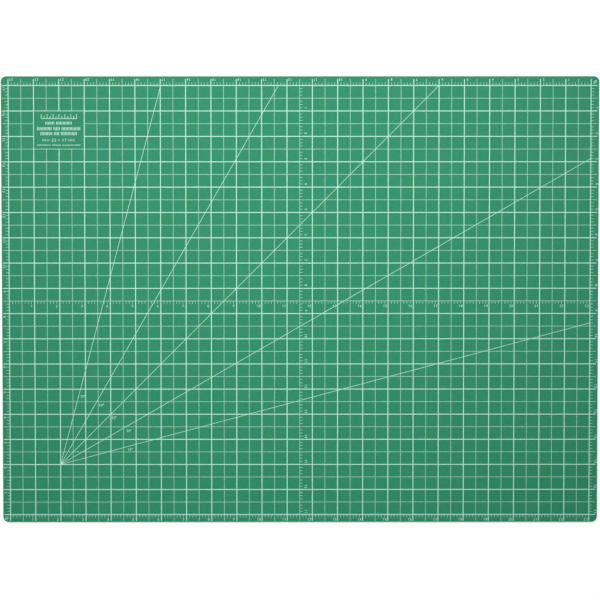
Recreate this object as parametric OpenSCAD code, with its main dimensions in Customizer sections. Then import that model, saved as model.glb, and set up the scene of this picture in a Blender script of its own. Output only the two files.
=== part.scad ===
// Self-healing cutting mat. Five laminated sheets with rounded corners carry a raised print:
// an inch grid, four edge scales, two centre rulers, angle guides and a label panel.
// The origin is the middle of the underside, +X runs along the long side and +Z points up.

/* [Mat] */
// Length of the mat
mat_x = 600; // [450:0.1:900]
// Width of the mat
mat_y = 448.9; // [300:0.1:600]
// Radius of the four corners
corner_r = 5.5; // [2:0.5:6]

/* [Sheets] */
// Thickness of each soft healing sheet
healing_t = 0.9; // [0.5:0.05:1.5]
// Thickness of each hard film that stops the blade
film_t = 0.25; // [0.15:0.05:0.5]
// Thickness of the middle sheet
core_t = 0.7; // [0.3:0.05:2]

/* [Print] */
// Thickness of the printed ink
ink_t = 0.05; // [0.03:0.01:0.1]
// Least distance from the grid to the mat's edge
least_margin = 7.5; // [7.5:0.5:15]
// How far the print sits to the right of the mat's middle
print_shift_x = -0.4; // [-1:0.1:1]
// How far the print sits above the mat's middle
print_shift_y = -0.9; // [-1:0.1:1]
// Width of the lines at each inch
inch_line = 0.8; // [0.5:0.05:1.2]
// Width of the lines half way between them
half_line = 0.35; // [0.3:0.05:0.8]
// Width of the eighth-inch ticks
tick_line = 0.3; // [0.2:0.05:0.5]
// Width of the angle guides
guide_line = 0.45; // [0.3:0.05:0.8]
// Width of the label panel's frame
frame_line = 0.4; // [0.3:0.05:0.5]

/* [Numerals] */
// Height of the inch numbers
numeral_h = 2.5; // [2:0.1:2.6]
// Height of the angle numbers
angle_numeral_h = 2.5; // [1.5:0.1:3]
// Distance from a line to the middle of its number
numeral_offset = 3.15; // [2.5:0.05:4]
// Stroke of a numeral as a share of its height
stroke_share = 0.13; // [0.08:0.01:0.18]

/* [Hidden] */
$fn = 48;

green = "#398f6b";
film = "#d9ded6";
core = "#2c3b35";
ink = "#d8f0e3";

// Heights of the sheets, from the underside up
lower_film_z = healing_t;
core_z = lower_film_z + film_t;
upper_film_z = core_z + core_t;
top_sheet_z = upper_film_z + film_t;
ink_z = top_sheet_z + healing_t;

// The grid is as many whole inches as the mat holds
inch = 25.4;
eighths = 8;
half_steps = 4;
cols = floor((mat_x - 2 * least_margin) / inch);
rows = floor((mat_y - 2 * least_margin) / inch);
grid_x = cols * inch;
grid_y = rows * inch;
left_margin = (mat_x - grid_x) / 2 + print_shift_x;
right_margin = (mat_x - grid_x) / 2 - print_shift_x;
bottom_margin = (mat_y - grid_y) / 2 + print_shift_y;
top_margin = (mat_y - grid_y) / 2 - print_shift_y;
edge_clearance = 0.7;
line_run = min(inch / 4, min(left_margin, right_margin, bottom_margin, top_margin) - edge_clearance);
edge_tick = inch / eighths;

// Middle of the numbers, measured out from the border line and kept inside a narrow margin
function margin_mid(wanted, margin) = min(wanted, margin - edge_clearance - numeral_h / 2);
left_numeral_mid = margin_mid(5, left_margin);
bottom_numeral_mid = margin_mid(5, bottom_margin);
top_numeral_mid = margin_mid(5.9, top_margin);
right_numeral_mid = margin_mid(6.35, right_margin);

// The zero that two scales share, out past the corner of the grid where they meet
corner_zero_h = 3.8;
corner_zero_turn = -45;
corner_zero_share = [0.53, 0.48];
corner_zero_out = [
    corner_zero_share[0] * min(left_margin, right_margin),
    corner_zero_share[1] * min(bottom_margin, top_margin)
];

// Middle of the rulers' numbers, measured from the ruler's line
across_numeral_mid = 5.1;
down_numeral_mid = 6.3;

// The two rulers run along the lines through the grid's middle
ruler_col = cols / 2;
ruler_row = rows / 2;
ruler_tick = edge_tick - tick_line;

// The angle guides start two inches in from the lower left corner of the grid
guide_start = [2 * inch, 2 * inch];
guide_angles = [15, 30, 45, 60, 75];
// Where each angle's number stands: its distance from the start and its own bearing
angle_label_places = [[71.3, 12.2], [76.3, 26.5], [71.1, 41.6], [72.7, 55.8], [72, 72.4]];
degree_r = 0.12;
// Middle of the degree sign, from the end of the number and above its middle
degree_place = [0.34, 0.4];

// The label panel hangs one inch inside the grid's upper left corner
panel_low = [inch, grid_y - 2.5 * inch];
panel_high = [3 * inch, grid_y - inch];
window_low = panel_low - [frame_line, half_line] / 2;
window_high = panel_high + [0, frame_line / 2];

// What fills the panel, each with its drop below the panel's top edge
scale_bar_drop = 5.5;
scale_bar_size = [36, 4.8];
scale_bar_steps = 12;
scale_bar_line = 0.55;
short_tick_share = 0.6;
size_drop = 29.2;
size_numeral_h = 3;
times_share = 0.6;
times_weight = 1.3;
// Rows of strokes: [drop, strokes in each group, height, width, pitch]
stroke_rows = [
    [12.1, [7, 12], 2.9, 0.6, 1.35],
    [17.7, [11, 5, 14], 3.1, 0.66, 1.37],
    [22.6, [9, 4, 12], 3.1, 0.66, 1.37],
    [34.1, [12, 8, 16], 1.2, 0.5, 1.15]
];
// The strokes on either side of the size: [strokes, height, width, pitch, distance out]
size_strokes = [5, 2, 0.45, 1.4, 12.9];

// ---- Numerals, drawn as strokes in a box one unit high ----

numeral_w = 0.56;
numeral_advance = 0.86;
stroke_low = stroke_share / 2;
stroke_high = 1 - stroke_share / 2;
stroke_left = stroke_share / 2;
stroke_mid = numeral_w / 2;
// Radius of the round ends of a 0, and of the two loops that fill an 8
end_r = stroke_mid - stroke_left;
loop_r = (stroke_high - stroke_low) / 4;
wedge_steps = 4;
// Where the straight strokes of the digits start, meet and end
flag_top = 0.93;
one_stem = 0.34;
one_flag = [[0.36, flag_top], [0.12, 0.75]];
two_neck_turn = -38;
two_foot = [0.07, stroke_low];
four_stem = 0.4;
four_arm = 0.29;
four_slope_end = [0.05, 0.31];
five_bowl = [0.26, 0.3];
five_bowl_r = 0.235;
five_back = [[0.08, 0.43], [0.11, 1]];
five_roof = [0.1, 0.52];
six_back_r = 0.75;
seven_slope = [[0.49, stroke_high], [0.2, 0]];

// A straight stroke with square ends
module bar(from, to) {
    run = to - from;
    translate(from)
        rotate(atan2(run[1], run[0]))
            translate([0, -stroke_share / 2])
                square([norm(run), stroke_share]);
}

module ring(mid, r) {
    translate(mid)
        difference() {
            circle(r + stroke_share / 2);
            circle(r - stroke_share / 2);
        }
}

// The part of a ring between two angles
module bow(mid, r, from, to) {
    reach = 2 * (r + stroke_share);
    intersection() {
        ring(mid, r);
        translate(mid)
            polygon(concat([[0, 0]], [
                for (k = [0:wedge_steps])
                    let (a = from + (to - from) * k / wedge_steps)
                    reach * [cos(a), sin(a)]
            ]));
    }
}

module tall_loop(r) {
    for (y = [stroke_low + end_r, stroke_high - end_r])
        translate([stroke_mid, y])
            circle(r);
    translate([stroke_mid - r, stroke_low + end_r])
        square([2 * r, stroke_high - stroke_low - 2 * end_r]);
}

module digit(d) {
    upper = [stroke_mid, stroke_high - loop_r];
    lower = [stroke_mid, stroke_low + loop_r];
    if (d == 0)
        difference() {
            tall_loop(end_r + stroke_share / 2);
            tall_loop(end_r - stroke_share / 2);
        }
    if (d == 1) {
        bar([one_stem, 0], [one_stem, 1]);
        bar(one_flag[0], one_flag[1]);
    }
    if (d == 2) {
        bow(upper, loop_r, -40, 165);
        bar(upper + (loop_r - 0.01) * [cos(two_neck_turn), sin(two_neck_turn)], two_foot);
        bar([0, stroke_low], [numeral_w, stroke_low]);
    }
    if (d == 3) {
        bow(upper, loop_r, -90, 150);
        bow(lower, loop_r, -150, 90);
    }
    if (d == 4) {
        bar([four_stem, 0], [four_stem, 1]);
        bar([four_stem, flag_top], four_slope_end);
        bar([0, four_arm], [numeral_w, four_arm]);
    }
    if (d == 5) {
        bow(five_bowl, five_bowl_r, -140, 140);
        bar(five_back[0], five_back[1]);
        bar([five_roof[0], stroke_high], [five_roof[1], stroke_high]);
    }
    if (d == 6) {
        ring(lower, loop_r);
        bow(lower + [six_back_r - loop_r, 0], six_back_r, 125, 180);
    }
    if (d == 7) {
        bar([0, stroke_high], [numeral_w, stroke_high]);
        bar(seven_slope[0], seven_slope[1]);
    }
    if (d == 8) {
        ring(upper, loop_r);
        ring(lower, loop_r);
    }
    if (d == 9)
        translate([numeral_w, 1])
            rotate(180)
                digit(6);
}

function digits_of(n) = n < 10 ? [n] : concat(digits_of(floor(n / 10)), [n % 10]);
function number_w(n) = (len(digits_of(n)) - 1) * numeral_advance + numeral_w;

// A number of the given height, centred on the origin
module number(n, height) {
    list = digits_of(n);
    scale(height)
        for (i = [0:len(list) - 1])
            translate([i * numeral_advance - number_w(n) / 2, -0.5])
                digit(list[i]);
}

// A number beside its line, read along the given turn; side is -1 to come before the line
// in that direction and 1 to come after it.
module number_at(place, turn, n, side = -1) {
    translate(place)
        rotate(turn)
            translate([side * numeral_offset, 0])
                number(n, numeral_h);
}

module corner_zero(place) {
    translate(place)
        rotate(corner_zero_turn)
            number(0, corner_zero_h);
}

// ---- Outlines ----

module mat_outline() {
    for (x = [-1, 1], y = [-1, 1])
        translate([x * (mat_x / 2 - corner_r), y * (mat_y / 2 - corner_r)])
            circle(corner_r);
    square([mat_x, mat_y - 2 * corner_r], center = true);
    square([mat_x - 2 * corner_r, mat_y], center = true);
}

module sheet(z, thickness) {
    translate([0, 0, z])
        linear_extrude(thickness)
            mat_outline();
}

// Lays ink on the top sheet, with its outline measured from the grid's lower left corner
module printed() {
    color(ink)
        translate([print_shift_x - grid_x / 2, print_shift_y - grid_y / 2, ink_z])
            linear_extrude(ink_t)
                children();
}

module upright_line(x, width) {
    translate([x - width / 2, -line_run])
        square([width, grid_y + 2 * line_run]);
}

module level_line(y, width) {
    translate([-line_run, y - width / 2])
        square([grid_x + 2 * line_run, width]);
}

module inch_lines() {
    for (i = [0:cols])
        upright_line(i * inch, inch_line);
    for (j = [0:rows])
        level_line(j * inch, inch_line);
}

module half_lines() {
    for (i = [0:cols - 1])
        upright_line((i + 0.5) * inch, half_line);
    for (j = [0:rows - 1])
        level_line((j + 0.5) * inch, half_line);
}

// The clear window of the label panel, up to the middle of the inch line on its right
module panel_window() {
    translate(window_low)
        square(window_high - window_low);
}

module panel_right_line() {
    upright_line(panel_high[0], inch_line);
}

// Eighth-inch ticks along +X that hang below the axis, with none where a grid line passes
module tick_row(inches, start, end) {
    for (k = [0:inches * eighths])
        if (k % half_steps != 0)
            translate([k * inch / eighths - tick_line / 2, -end])
                square([tick_line, end - start]);
}

function line_half(at) = (at == floor(at) ? inch_line : half_line) / 2;

module ruler_ticks_across() {
    translate([0, ruler_row * inch])
        tick_row(cols, line_half(ruler_row), ruler_tick);
}

module ruler_ticks_down() {
    translate([ruler_col * inch, 0])
        rotate(90)
            tick_row(rows, line_half(ruler_col), ruler_tick);
}

// ---- Sheets ----

module top_healing_sheet() {
    color(green)
        sheet(top_sheet_z, healing_t);
}

module upper_stop_film() {
    color(film)
        sheet(upper_film_z, film_t);
}

module core_sheet() {
    color(core)
        sheet(core_z, core_t);
}

module lower_stop_film() {
    color(film)
        sheet(lower_film_z, film_t);
}

module bottom_healing_sheet() {
    color(green)
        sheet(0, healing_t);
}

// ---- Grid ----

module inch_grid_lines() {
    printed() {
        difference() {
            inch_lines();
            panel_window();
        }
        panel_right_line();
    }
}

module half_inch_lines() {
    printed()
        difference() {
            half_lines();
            inch_lines();
            panel_window();
        }
}

// ---- Edge scales ----

module bottom_edge_ticks() {
    printed()
        tick_row(cols, inch_line / 2, edge_tick);
}

module top_edge_ticks() {
    printed()
        translate([grid_x, grid_y])
            rotate(180)
                tick_row(cols, inch_line / 2, edge_tick);
}

module left_edge_ticks() {
    printed()
        translate([0, grid_y])
            rotate(-90)
                tick_row(rows, inch_line / 2, edge_tick);
}

module right_edge_ticks() {
    printed()
        translate([grid_x, 0])
            rotate(90)
                tick_row(rows, inch_line / 2, edge_tick);
}

module bottom_edge_numerals() {
    printed() {
        for (n = [1:cols])
            number_at([n * inch, -bottom_numeral_mid], 0, n);
        corner_zero(-corner_zero_out);
    }
}

module top_edge_numerals() {
    printed() {
        for (n = [1:cols])
            number_at([grid_x - n * inch, grid_y + top_numeral_mid], 180, n);
        corner_zero([grid_x, grid_y] + corner_zero_out);
    }
}

module left_edge_numerals() {
    printed()
        for (n = [1:rows])
            number_at([-left_numeral_mid, n * inch], -90, n, 1);
}

module right_edge_numerals() {
    printed()
        for (n = [1:rows])
            number_at([grid_x + right_numeral_mid, grid_y - n * inch], -90, n);
}

// ---- Centre rulers ----

module centre_ruler_ticks_across() {
    printed()
        ruler_ticks_across();
}

module centre_ruler_ticks_down() {
    printed()
        ruler_ticks_down();
}

module centre_numerals_across() {
    printed()
        for (n = [1:cols])
            number_at([n * inch, ruler_row * inch - across_numeral_mid], 0, n);
}

module centre_numerals_down() {
    printed()
        for (n = [1:rows])
            number_at([ruler_col * inch + down_numeral_mid, grid_y - n * inch], -90, n);
}

// ---- Angle guides ----

// Each guide runs to the border, so its length depends on which side it meets first
function guide_length(a) = min((grid_x - guide_start[0]) / cos(a), (grid_y - guide_start[1]) / sin(a));

module angle_guide_lines() {
    printed()
        difference() {
            for (a = guide_angles)
                translate(guide_start)
                    rotate(a)
                        translate([0, -guide_line / 2])
                            square([guide_length(a), guide_line]);
            inch_lines();
            half_lines();
            ruler_ticks_across();
            ruler_ticks_down();
        }
}

module angle_labels() {
    printed()
        for (i = [0:len(guide_angles) - 1]) {
            r = angle_label_places[i][0];
            a = angle_label_places[i][1];
            number_end = [number_w(guide_angles[i]) / 2, 0];
            translate(guide_start + r * [cos(a), sin(a)]) {
                number(guide_angles[i], angle_numeral_h);
                scale(angle_numeral_h)
                    ring(number_end + degree_place, degree_r);
            }
        }
}

// ---- Label panel ----

// The inch line on the panel's right serves as the frame's fourth side
module label_frame() {
    inner_low = window_low + [frame_line, frame_line];
    printed()
        difference() {
            panel_window();
            translate(inner_low)
                square(window_high - [0, frame_line] - inner_low);
            panel_right_line();
        }
}

// A row of short upright strokes in groups, centred, which stands for a line of wording
module stroke_row(groups, height, width, pitch) {
    total = pitch * (len(groups) - 1 + vector_sum(groups, len(groups)));
    for (g = [0:len(groups) - 1])
        for (k = [0:groups[g] - 1])
            translate([pitch * (vector_sum(groups, g) + g + k) - total / 2, -height / 2])
                square([width, height]);
}

function vector_sum(v, n) = n == 0 ? 0 : v[n - 1] + vector_sum(v, n - 1);

// A plain scale bar: a base line with ticks that stand on it
module scale_bar(length, height, steps) {
    translate([-length / 2, -height / 2])
        square([length, scale_bar_line]);
    for (k = [0:steps]) {
        tick_h = (k % 2 == 0 ? 1 : short_tick_share) * height;
        translate([k * (length - scale_bar_line) / steps - length / 2, -height / 2])
            square([scale_bar_line, tick_h]);
    }
}

// A multiplication sign
module times_sign(size) {
    for (turn = [-45, 45])
        rotate(turn)
            square([size, stroke_share * size * times_weight], center = true);
}

// The grid's own size in inches, with a few strokes on either side
module size_line() {
    times_sign(size_numeral_h * times_share);
    for (half = [[-1, cols], [1, rows]]) {
        translate([half[0] * size_numeral_h * (1 + number_w(half[1]) / 2), 0])
            number(half[1], size_numeral_h);
        translate([half[0] * size_strokes[4], 0])
            stroke_row([size_strokes[0]], size_strokes[1], size_strokes[2], size_strokes[3]);
    }
}

module label_marks() {
    panel_mid = (panel_low[0] + panel_high[0]) / 2;
    printed()
        translate([panel_mid, panel_high[1]]) {
            translate([0, -scale_bar_drop])
                scale_bar(scale_bar_size[0], scale_bar_size[1], scale_bar_steps);
            for (row = stroke_rows)
                translate([0, -row[0]])
                    stroke_row(row[1], row[2], row[3], row[4]);
            translate([0, -size_drop])
                size_line();
        }
}

top_healing_sheet();
upper_stop_film();
core_sheet();
lower_stop_film();
bottom_healing_sheet();
inch_grid_lines();
half_inch_lines();
bottom_edge_ticks();
top_edge_ticks();
left_edge_ticks();
right_edge_ticks();
bottom_edge_numerals();
top_edge_numerals();
left_edge_numerals();
right_edge_numerals();
centre_ruler_ticks_across();
centre_ruler_ticks_down();
centre_numerals_across();
centre_numerals_down();
angle_guide_lines();
angle_labels();
label_frame();
label_marks();
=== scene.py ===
"""Looks of a green self-healing cutting mat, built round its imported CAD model.

The five plies are remade as die-cut sheets: a calendered grain on the two healing faces, an edge
rolled over by the die, and a seam between each ply and the next. The printed scales keep their
exact CAD shapes and take a screen-print ink. Everything is in metres, with +Z up.
"""

import math

import bmesh
import bpy
from mathutils import Matrix, Vector, noise


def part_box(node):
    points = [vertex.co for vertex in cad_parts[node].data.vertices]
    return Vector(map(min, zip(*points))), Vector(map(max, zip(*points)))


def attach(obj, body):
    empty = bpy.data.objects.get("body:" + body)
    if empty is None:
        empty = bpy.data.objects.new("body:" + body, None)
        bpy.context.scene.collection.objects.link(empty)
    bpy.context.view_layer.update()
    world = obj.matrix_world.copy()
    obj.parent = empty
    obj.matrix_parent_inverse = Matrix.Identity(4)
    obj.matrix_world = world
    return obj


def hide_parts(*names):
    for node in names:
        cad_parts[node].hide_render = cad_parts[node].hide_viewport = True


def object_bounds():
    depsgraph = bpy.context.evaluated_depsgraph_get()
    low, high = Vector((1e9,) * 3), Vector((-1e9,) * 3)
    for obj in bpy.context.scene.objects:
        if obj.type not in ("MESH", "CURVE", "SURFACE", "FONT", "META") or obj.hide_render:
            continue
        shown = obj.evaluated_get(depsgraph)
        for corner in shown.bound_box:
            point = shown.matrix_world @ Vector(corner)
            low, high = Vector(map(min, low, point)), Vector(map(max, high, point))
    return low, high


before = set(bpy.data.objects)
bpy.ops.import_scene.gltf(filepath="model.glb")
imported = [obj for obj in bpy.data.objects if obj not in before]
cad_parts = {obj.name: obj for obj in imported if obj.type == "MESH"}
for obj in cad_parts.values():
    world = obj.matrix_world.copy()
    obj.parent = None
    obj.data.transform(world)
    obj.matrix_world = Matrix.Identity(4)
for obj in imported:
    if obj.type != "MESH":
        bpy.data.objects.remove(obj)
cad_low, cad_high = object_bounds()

MM = 0.001

# The die-cut outline, shared by all five plies
CORNER_RADIUS = 5.5 * MM
CORNER_STEPS = 14  # faces round one corner
SIDE_STEP = 2 * MM  # spacing of the outline's points along a straight side

# How the cut line strays inwards: a slow drift of the knife and a fine ragged part
WANDER = 0.035 * MM  # the furthest that it strays
WANDER_MIDDLE, DRIFT_SHARE, RAGGED_SHARE = 0.5, 0.3, 0.2  # shares of it, which add up to 1
DRIFT_LENGTH, DRIFT_RISE = 28 * MM, 4  # size along the edge, and times quicker up the cut
RAGGED_LENGTH, RAGGED_RISE = 2.6 * MM, 6

# The side of one ply
CAP_MARGIN = 0.6 * MM  # flat ring inside a rolled edge, which keeps the face's shading level
ROLL_STEPS = 5  # faces round a rolled edge
WALL_SHARES = (0.25, 0.5, 0.75)  # where the rings of points lie up its upright part
LEVEL = 0.4  # a face takes the skin where its normal's Z part is beyond this, and the cut elsewhere
WORKING_ROLL = 0.35 * MM  # the rounding of the mat's top edge
UNDER_ROLL = 0.15 * MM  # and of its lowest edge
SEAM = 0.06 * MM  # and where a PVC ply meets the next ply
FILM_ROLL = 0.03 * MM
PVC_DISH = 0.03 * MM  # how far the middle of a side draws in
CORE_DISH = 0.05 * MM

# Colours as seen, in display values from 0 to 255
GREEN = (49, 148, 105)
GREEN_COOL = (41, 144, 109)
CUT_GREEN = (62, 140, 108)
FILM = (214, 219, 206)
CORE = (40, 56, 50)
INK = (198, 250, 228)

# The grain of the healing skin, which also shows through the ink
PEBBLE = 0.7 * MM
FINE_GRAIN = 0.35 * MM

# The camera: nearly overhead, its feet towards -Y
CAMERA_DISTANCE = 1.5
CAMERA_LENS = 89.45  # millimetres
CAMERA_CLIP = (0.01, 100)
CAMERA_TARGET = Vector((-0.1, 0.03, 3)) * MM
CAMERA_TILT = math.radians(1.724)  # towards +Y
CAMERA_SIDE = math.radians(-0.053)  # towards +X
CAMERA_ROLL = math.radians(-0.016)

# The studio
LAMP_RADIUS = 0.25
TABLE_HALF = 12.0
TABLE_GAP = 0.05 * MM  # keeps the table clear of the mat's lowest face
TABLE_WHITE = (0.9, 0.9, 0.9, 1)
TABLE_GLOW = 0.62
WALL_HEIGHTS = (0.02, 0.35)  # Z part of a direction, where the lit walls begin and have faded
WALL_LIGHT = (0.8, 0.225)  # strength of the light at those two heights


# ---- Materials ----------------------------------------------------------------------------------


def linear(colour):
    """A display colour as the linear RGBA that a shader takes, by the sRGB curve."""
    parts = [c / 255 for c in colour]
    parts = [p / 12.92 if p <= 0.04045 else ((p + 0.055) / 1.055) ** 2.4 for p in parts]
    return (*parts, 1.0)


class Surface:
    """A Principled material with short calls for the nodes that feed it. All textures read object
    coordinates, so they keep their real scale and stay put on the piece."""

    def __init__(self, name, specular, roughness=None):
        self.material = bpy.data.materials.new(name)
        self.material.use_nodes = True
        self.nodes = self.material.node_tree.nodes
        self.links = self.material.node_tree.links
        self.shader = self.nodes["Principled BSDF"]
        self.shader.inputs["IOR"].default_value = 1.5
        self.shader.inputs["Specular IOR Level"].default_value = specular
        if roughness is not None:
            self.shader.inputs["Roughness"].default_value = roughness
        self.place = self.nodes.new("ShaderNodeTexCoord").outputs["Object"]

    def put(self, value, socket):
        """Sets a socket from a number or colour, or links it from another socket."""
        if isinstance(value, bpy.types.NodeSocket):
            self.links.new(value, socket)
        else:
            socket.default_value = value[:3] if socket.type == "VECTOR" else value

    def stretched(self, stretch):
        """Object coordinates scaled along each axis, for grain that runs one way."""
        mapping = self.nodes.new("ShaderNodeMapping")
        self.links.new(self.place, mapping.inputs["Vector"])
        mapping.inputs["Scale"].default_value = stretch
        return mapping.outputs["Vector"]

    def cloud(self, size, detail, rough=0.5, stretch=None):
        """Soft noise from 0 to 1 whose features are about size metres across."""
        texture = self.nodes.new("ShaderNodeTexNoise")
        self.links.new(self.stretched(stretch) if stretch else self.place, texture.inputs["Vector"])
        texture.inputs["Scale"].default_value = 1 / size
        texture.inputs["Detail"].default_value = detail
        texture.inputs["Roughness"].default_value = rough
        return texture.outputs["Fac"]

    def pebbles(self, size):
        """Rounded cells about size metres across: 0 in the middle of each and up to 1 between."""
        texture = self.nodes.new("ShaderNodeTexVoronoi")
        texture.feature = "SMOOTH_F1"
        texture.inputs["Scale"].default_value = 1 / size
        texture.inputs["Smoothness"].default_value = 0.6
        self.links.new(self.place, texture.inputs["Vector"])
        return texture.outputs["Distance"]

    def spread(self, value, to, over=(0.3, 0.7)):
        """Maps value from the range over to the range to, which may run downwards."""
        node = self.nodes.new("ShaderNodeMapRange")
        self.put(value, node.inputs["Value"])
        node.inputs["From Min"].default_value, node.inputs["From Max"].default_value = over
        node.inputs["To Min"].default_value, node.inputs["To Max"].default_value = to
        return node.outputs["Result"]

    def maths(self, operation, first, second):
        """first and second, each a number or a socket, put through one operation."""
        node = self.nodes.new("ShaderNodeMath")
        node.operation = operation
        self.put(first, node.inputs[0])
        self.put(second, node.inputs[1])
        return node.outputs["Value"]

    def upturned(self, height):
        """height with its crests and hollows swapped."""
        return self.maths("MULTIPLY", height, -1.0)

    def blend(self, factor, first, second):
        """A colour between first and second."""
        node = self.nodes.new("ShaderNodeMix")
        node.data_type = "RGBA"
        sockets = [s for s in node.inputs if s.type == "RGBA"]
        self.put(factor, node.inputs["Factor"])
        self.put(first, sockets[0])
        self.put(second, sockets[1])
        return next(s for s in node.outputs if s.type == "RGBA")

    def shade(self, colour, *factors):
        """colour made lighter or darker by each of factors."""
        for factor in factors:
            node = self.nodes.new("ShaderNodeVectorMath")
            node.operation = "SCALE"
            self.put(colour, node.inputs[0])
            self.put(factor, node.inputs["Scale"])
            colour = node.outputs["Vector"]
        return colour

    def bump(self, height, depth, under=None):
        """Relief of depth metres, on top of the normal under."""
        node = self.nodes.new("ShaderNodeBump")
        node.inputs["Strength"].default_value = 1.0
        node.inputs["Distance"].default_value = depth
        self.put(height, node.inputs["Height"])
        if under is not None:
            self.links.new(under, node.inputs["Normal"])
        return node.outputs["Normal"]

    def finish(self, colour, roughness=None, normal=None):
        """Feeds the shader and gives back the material."""
        for value, name in ((colour, "Base Color"), (roughness, "Roughness"), (normal, "Normal")):
            if value is not None:
                self.put(value, self.shader.inputs[name])
        return self.material


def healing_skin():
    """The calendered face of the soft green PVC: a fine pebble, slight clouding and faint rubs,
    with painted shade in the hollows of the ripple and the pebble.
    """
    s = Surface("healing_skin", specular=0.25)
    pebble = s.pebbles(PEBBLE)
    fine = s.cloud(FINE_GRAIN, detail=3)
    ripple = s.cloud(size=2.4 * MM, detail=2)
    patch = s.cloud(size=9 * MM, detail=1)
    drift = s.cloud(size=70 * MM, detail=2)
    rub = s.cloud(size=26 * MM, detail=3, stretch=(0.35, 1, 1))

    green = s.blend(s.spread(patch, to=(0, 1)), linear(GREEN), linear(GREEN_COOL))
    green = s.shade(
        green,
        s.spread(drift, to=(0.985, 1.015)),
        s.spread(patch, to=(0.975, 1.025)),
        # painted shade: the next two factors make the colour lighter on the crests of the ripple
        # and the pebble, where their relief below rises, and darker in the hollows between
        s.spread(ripple, to=(0.955, 1.045)),
        s.spread(pebble, over=(0.1, 0.7), to=(1.04, 0.93)),
    )
    rubbed = s.spread(rub, to=(0.5, 0.58))
    roughness = s.maths("ADD", rubbed, s.spread(fine, to=(-0.03, 0.03)))
    relief = s.bump(ripple, depth=0.03 * MM)
    relief = s.bump(s.upturned(pebble), depth=0.05 * MM, under=relief)
    relief = s.bump(fine, depth=0.015 * MM, under=relief)
    return s.finish(green, roughness, relief)


def healing_cut():
    """The same PVC where the die went through it: paler, duller and drawn into upright streaks."""
    s = Surface("healing_cut", specular=0.3)
    streak = s.cloud(size=0.45 * MM, detail=3, rough=0.6, stretch=(1, 1, 0.12))
    drag = s.cloud(size=6 * MM, detail=2, stretch=(1, 1, 0.3))
    green = s.shade(
        linear(CUT_GREEN),
        s.spread(streak, to=(0.88, 1.12)),
        s.spread(drag, to=(0.93, 1.07)),
    )
    return s.finish(green, s.spread(streak, to=(0.6, 0.8)), s.bump(streak, depth=0.05 * MM))


def stop_film():
    """The thin hard film that stops the blade: pale, smoother, with chatter from the die."""
    s = Surface("stop_film", specular=0.45)
    chatter = s.cloud(size=0.3 * MM, detail=2, stretch=(1, 1, 0.2))
    cast = s.cloud(size=14 * MM, detail=2)
    pale = s.shade(
        linear(FILM),
        s.spread(chatter, to=(0.93, 1.05)),
        s.spread(cast, to=(0.97, 1.03)),
    )
    return s.finish(pale, s.spread(chatter, to=(0.32, 0.5)), s.bump(chatter, depth=0.02 * MM))


def core_compound():
    """The dark resilient middle ply: a dense compound with green specks and a torn cut face."""
    s = Surface("core_compound", specular=0.35)
    crumb = s.pebbles(size=0.5 * MM)
    tear = s.cloud(size=0.4 * MM, detail=4, rough=0.65, stretch=(1, 1, 0.4))
    specks = s.spread(crumb, over=(0.05, 0.25), to=(0.25, 0))
    dark = s.blend(specks, linear(CORE), linear(CUT_GREEN))
    dark = s.shade(dark, s.spread(tear, to=(0.8, 1.2)))
    relief = s.bump(tear, depth=0.06 * MM)
    relief = s.bump(crumb, depth=0.03 * MM, under=relief)
    return s.finish(dark, s.spread(tear, to=(0.65, 0.85)), relief)


def print_ink():
    """Pale screen-print ink: an even matte film, a little thinner over the grain's high spots."""
    s = Surface("screen_print_ink", specular=0.3)
    pebble = s.pebbles(PEBBLE)
    fine = s.cloud(FINE_GRAIN, detail=3)
    lay = s.cloud(size=18 * MM, detail=2)
    thin = s.maths(
        "MULTIPLY",
        s.spread(fine, over=(0.45, 0.75), to=(0, 0.12)),
        s.spread(pebble, over=(0.1, 0.6), to=(1, 0.3)),
    )
    pale = s.blend(thin, linear(INK), linear(GREEN))
    pale = s.shade(pale, s.spread(lay, to=(0.97, 1.02)))
    relief = s.bump(s.upturned(pebble), depth=0.03 * MM)
    relief = s.bump(fine, depth=0.012 * MM, under=relief)
    return s.finish(pale, s.spread(fine, to=(0.48, 0.62)), relief)


# ---- The five plies -----------------------------------------------------------------------------


def outline(low, high):
    """The die's path round a rounded rectangle, anticlockwise: (point, outward direction)."""
    centres = [
        Vector((high.x - CORNER_RADIUS, low.y + CORNER_RADIUS)),
        Vector((high.x - CORNER_RADIUS, high.y - CORNER_RADIUS)),
        Vector((low.x + CORNER_RADIUS, high.y - CORNER_RADIUS)),
        Vector((low.x + CORNER_RADIUS, low.y + CORNER_RADIUS)),
    ]
    path = []
    for quarter, centre in enumerate(centres):
        for step in range(CORNER_STEPS + 1):
            angle = (quarter - 1 + step / CORNER_STEPS) * math.pi / 2
            out = Vector((math.cos(angle), math.sin(angle)))
            path.append((centre + out * CORNER_RADIUS, out))
        start = path[-1][0]
        end = centres[(quarter + 1) % len(centres)] + out * CORNER_RADIUS
        pieces = round((end - start).length / SIDE_STEP)
        path += [(start.lerp(end, k / pieces), out) for k in range(1, pieces)]
    return path


def quarter_round(size, towards_top):
    """(inset, rise) along one rounded edge of a ply, upwards: the lower edge or the upper one."""
    turns = [math.pi / 2 * k / ROLL_STEPS for k in range(ROLL_STEPS + 1)]
    if towards_top:
        return [(size * (1 - math.cos(a)), size * (math.sin(a) - 1)) for a in turns]
    return [(size * (1 - math.sin(a)), size * (1 - math.cos(a))) for a in turns]


def cut_face(bottom, top, lower_edge, upper_edge, dish):
    """(inset, height) up the side of a ply. dish is how far its middle draws in."""
    lower = [(i, bottom + rise) for i, rise in quarter_round(lower_edge, False)]
    upper = [(i, top + rise) for i, rise in quarter_round(upper_edge, True)]
    wall_low, wall_high = lower[-1][1], upper[0][1]
    wall = []
    for share in WALL_SHARES:
        height = wall_low + (wall_high - wall_low) * share
        wall.append((dish * math.sin(math.pi * share), height))
    foot = [(lower[0][0] + CAP_MARGIN, bottom)]
    head = [(upper[-1][0] + CAP_MARGIN, top)]
    return foot + lower + wall + upper + head


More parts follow.
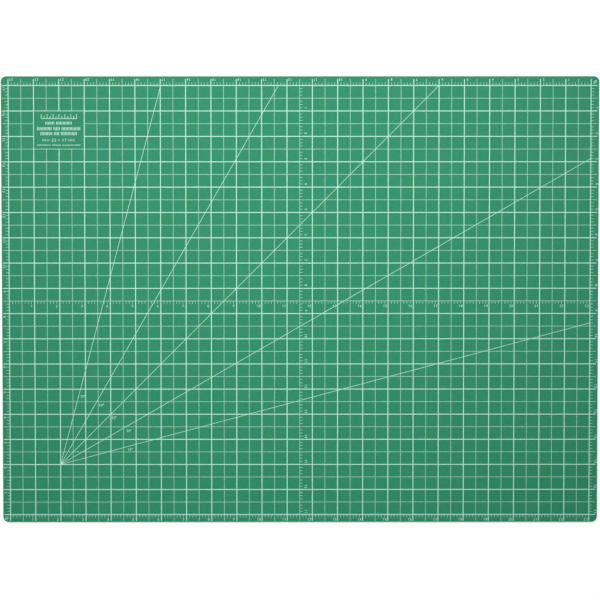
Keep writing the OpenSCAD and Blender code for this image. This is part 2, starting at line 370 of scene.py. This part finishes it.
def wander(point, height):
    """How far the cut strays inwards here."""
    drift = noise.noise(Vector((*point, height * DRIFT_RISE)) / DRIFT_LENGTH)
    ragged = noise.noise(Vector((*point, height * RAGGED_RISE)) / RAGGED_LENGTH)
    return WANDER * (WANDER_MIDDLE + DRIFT_SHARE * drift + RAGGED_SHARE * ragged)


def ply(name, node, skin, cut, lower_edge, upper_edge, dish, ragged=True):
    """One sheet of the laminate, in place of its CAD node."""
    low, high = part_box(node)
    path = outline(low, high)
    profile = cut_face(low.z, high.z, lower_edge, upper_edge, dish)

    mesh = bmesh.new()
    rings = []
    for inset, height in profile:
        ring = []
        for point, out in path:
            stray = wander(point, height) if ragged else 0.0
            place = point - out * (inset + stray)
            ring.append(mesh.verts.new((place.x, place.y, height)))
        rings.append(ring)
    for below, above in zip(rings, rings[1:]):
        for k, vert in enumerate(below):
            after = (k + 1) % len(below)
            mesh.faces.new((vert, below[after], above[after], above[k]))
    mesh.faces.new(reversed(rings[0]))
    mesh.faces.new(rings[-1])
    mesh.normal_update()
    for face in mesh.faces:
        face.smooth = True
        face.material_index = 0 if abs(face.normal.z) > LEVEL else 1

    data = bpy.data.meshes.new(name)
    mesh.to_mesh(data)
    mesh.free()
    data.materials.append(skin)
    data.materials.append(cut)
    piece = bpy.data.objects.new(name, data)
    bpy.context.scene.collection.objects.link(piece)
    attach(piece, "root")
    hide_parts(node)


skin, green_cut, film, core = healing_skin(), healing_cut(), stop_film(), core_compound()

ply(
    "bottom_healing_ply", "bottom_healing_sheet", skin, green_cut,
    lower_edge=UNDER_ROLL, upper_edge=SEAM, dish=PVC_DISH,
)
ply(
    "lower_film_ply", "lower_stop_film", film, film,
    lower_edge=FILM_ROLL, upper_edge=FILM_ROLL, dish=0, ragged=False,
)
ply(
    "core_ply", "core_sheet", core, core,
    lower_edge=SEAM, upper_edge=SEAM, dish=CORE_DISH,
)
ply(
    "upper_film_ply", "upper_stop_film", film, film,
    lower_edge=FILM_ROLL, upper_edge=FILM_ROLL, dish=0, ragged=False,
)
ply(
    "top_healing_ply", "top_healing_sheet", skin, green_cut,
    lower_edge=SEAM, upper_edge=WORKING_ROLL, dish=PVC_DISH,
)


# ---- The print: the CAD's own shapes, in a proper ink -------------------------------------------


SHEETS = {
    "bottom_healing_sheet",
    "lower_stop_film",
    "core_sheet",
    "upper_stop_film",
    "top_healing_sheet",
}

ink = print_ink()
for node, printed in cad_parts.items():
    if node not in SHEETS:
        printed.data.materials.clear()
        printed.data.materials.append(ink)


# ---- Studio -------------------------------------------------------------------------------------


def aim(item, place, target, roll=0.0):
    """Puts a camera or light at place, looking at target, with +Y up in the picture."""
    back = (place - target).normalized()
    right = Vector((0, 1, 0)).cross(back).normalized()
    turned = Matrix((right, back.cross(right), back)).transposed() @ Matrix.Rotation(roll, 3, "Z")
    item.matrix_world = Matrix.Translation(place) @ turned.to_4x4()


def camera():
    """The camera, which leans from straight above by CAMERA_TILT and CAMERA_SIDE."""
    data = bpy.data.cameras.new("camera")
    data.lens = CAMERA_LENS
    data.clip_start, data.clip_end = CAMERA_CLIP
    item = bpy.data.objects.new("camera", data)
    bpy.context.scene.collection.objects.link(item)
    tilt, side = CAMERA_TILT, CAMERA_SIDE
    back = Vector((
        math.sin(side),
        math.sin(tilt) * math.cos(side),
        math.cos(tilt) * math.cos(side),
    ))
    aim(item, CAMERA_TARGET + back * CAMERA_DISTANCE, CAMERA_TARGET, CAMERA_ROLL)
    bpy.context.scene.camera = item


def lamp(name, place, target, beam, power):
    """A diffused studio lamp whose beam, beam radians wide, fades smoothly to its rim."""
    data = bpy.data.lights.new(name, "SPOT")
    data.spot_size = beam
    data.spot_blend = 1.0
    data.shadow_soft_size = LAMP_RADIUS
    data.energy = power
    item = bpy.data.objects.new(name, data)
    bpy.context.scene.collection.objects.link(item)
    aim(item, Vector(place), Vector(target))


def floor():
    """A pale lit table under the mat."""
    s = Surface("pale_table", specular=0.2, roughness=0.7)
    fleck = s.cloud(size=40 * MM, detail=3)
    s.put(TABLE_WHITE, s.shader.inputs["Emission Color"])
    s.put(TABLE_GLOW, s.shader.inputs["Emission Strength"])
    pale = s.finish(s.shade(TABLE_WHITE, s.spread(fleck, to=(0.99, 1.0))))
    half, height = TABLE_HALF, cad_low.z - TABLE_GAP
    corners = [(-half, -half), (half, -half), (half, half), (-half, half)]
    data = bpy.data.meshes.new("table")
    data.from_pydata([(x, y, height) for x, y in corners], [], [(0, 1, 2, 3)])
    data.materials.append(pale)
    item = bpy.data.objects.new("table", data)
    bpy.context.scene.collection.objects.link(item)


def room():
    """Pale light from all round, brighter low down like the lit walls of a studio."""
    world = bpy.data.worlds.new("room")
    world.use_nodes = True
    nodes, links = world.node_tree.nodes, world.node_tree.links
    direction = nodes.new("ShaderNodeTexCoord").outputs["Generated"]
    split = nodes.new("ShaderNodeSeparateXYZ")
    links.new(direction, split.inputs["Vector"])
    wall = nodes.new("ShaderNodeMapRange")
    links.new(split.outputs["Z"], wall.inputs["Value"])
    wall.inputs["From Min"].default_value, wall.inputs["From Max"].default_value = WALL_HEIGHTS
    wall.inputs["To Min"].default_value, wall.inputs["To Max"].default_value = WALL_LIGHT
    nodes["Background"].inputs["Color"].default_value = (1, 1, 1, 1)
    links.new(wall.outputs["Result"], nodes["Background"].inputs["Strength"])
    bpy.context.scene.world = world
    bpy.context.scene.view_settings.view_transform = "Standard"


camera()
floor()
room()
lamp("left_lamp", place=(-1.1, 0.7, 1.3), target=(0.6, -0.13, 0), beam=1.118, power=81)
lamp("right_lamp", place=(1.1, 0.7, 1.3), target=(-0.6, 0.02, 0), beam=1.04, power=83)
